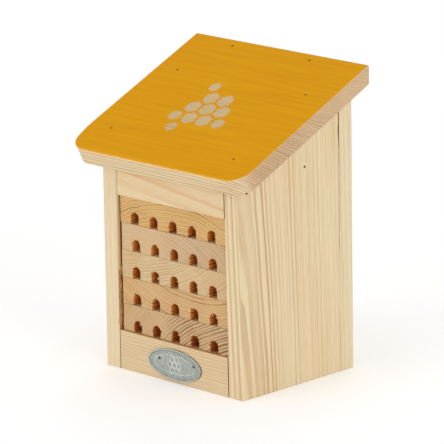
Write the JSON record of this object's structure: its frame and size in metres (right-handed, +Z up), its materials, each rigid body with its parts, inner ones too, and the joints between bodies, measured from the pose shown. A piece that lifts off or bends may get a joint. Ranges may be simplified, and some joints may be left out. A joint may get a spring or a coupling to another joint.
{
  "type": "solitary bee nest house",
  "caption": "Small pine nest house for solitary bees, with a sloping painted roof and a stack of grooved nest blocks that slide out of the open front for cleaning.",
  "frame": {"origin": "on the ground under the middle of the overall box", "axes": "+Z up, +Y from the open front towards the wall, +X to the right seen from the front"},
  "size_m": [0.176, 0.1346, 0.2291],
  "materials": {
    "case_pine": "planed, untreated",
    "painted_roof": "satin yellow paint on the top face, bare edges",
    "block_pine": "sawn end grain, untreated",
    "plate_zinc": "dull embossed sheet",
    "nail_steel": "dull"
  },
  "bodies": {
    "case": {"left_side_panel": "case_pine", "right_side_panel": "case_pine", "back_panel": "case_pine", "front_lintel": "case_pine", "front_rail": "case_pine", "floor_board": "case_pine", "stop_board": "case_pine", "roof_board": "painted_roof", "oval_plate": "plate_zinc", "plate_nails": "nail_steel", "roof_nails_left": "nail_steel", "roof_nails_right": "nail_steel", "roof_nails_back": "nail_steel", "side_nails_left": "nail_steel", "side_nails_right": "nail_steel", "back_nails_left": "nail_steel", "back_nails_right": "nail_steel", "floor_nails": "nail_steel"},
    "block_1": {"nest_block_1": "block_pine"},
    "block_2": {"nest_block_2": "block_pine"},
    "block_3": {"nest_block_3": "block_pine"},
    "block_4": {"nest_block_4": "block_pine"},
    "block_5": {"nest_block_5": "block_pine"}
  },
  "joints": [
    {"name": "block_1_slide", "type": "slide", "parent": "case", "child": "block_1", "axis": [0, -1, 0], "range_m": [0, 0.066]},
    {"name": "block_2_slide", "type": "slide", "parent": "case", "child": "block_2", "axis": [0, -1, 0], "range_m": [0, 0.066]},
    {"name": "block_3_slide", "type": "slide", "parent": "case", "child": "block_3", "axis": [0, -1, 0], "range_m": [0, 0.066]},
    {"name": "block_4_slide", "type": "slide", "parent": "case", "child": "block_4", "axis": [0, -1, 0], "range_m": [0, 0.066]},
    {"name": "block_5_slide", "type": "slide", "parent": "case", "child": "block_5", "axis": [0, -1, 0], "range_m": [0, 0.066]}
  ]
}
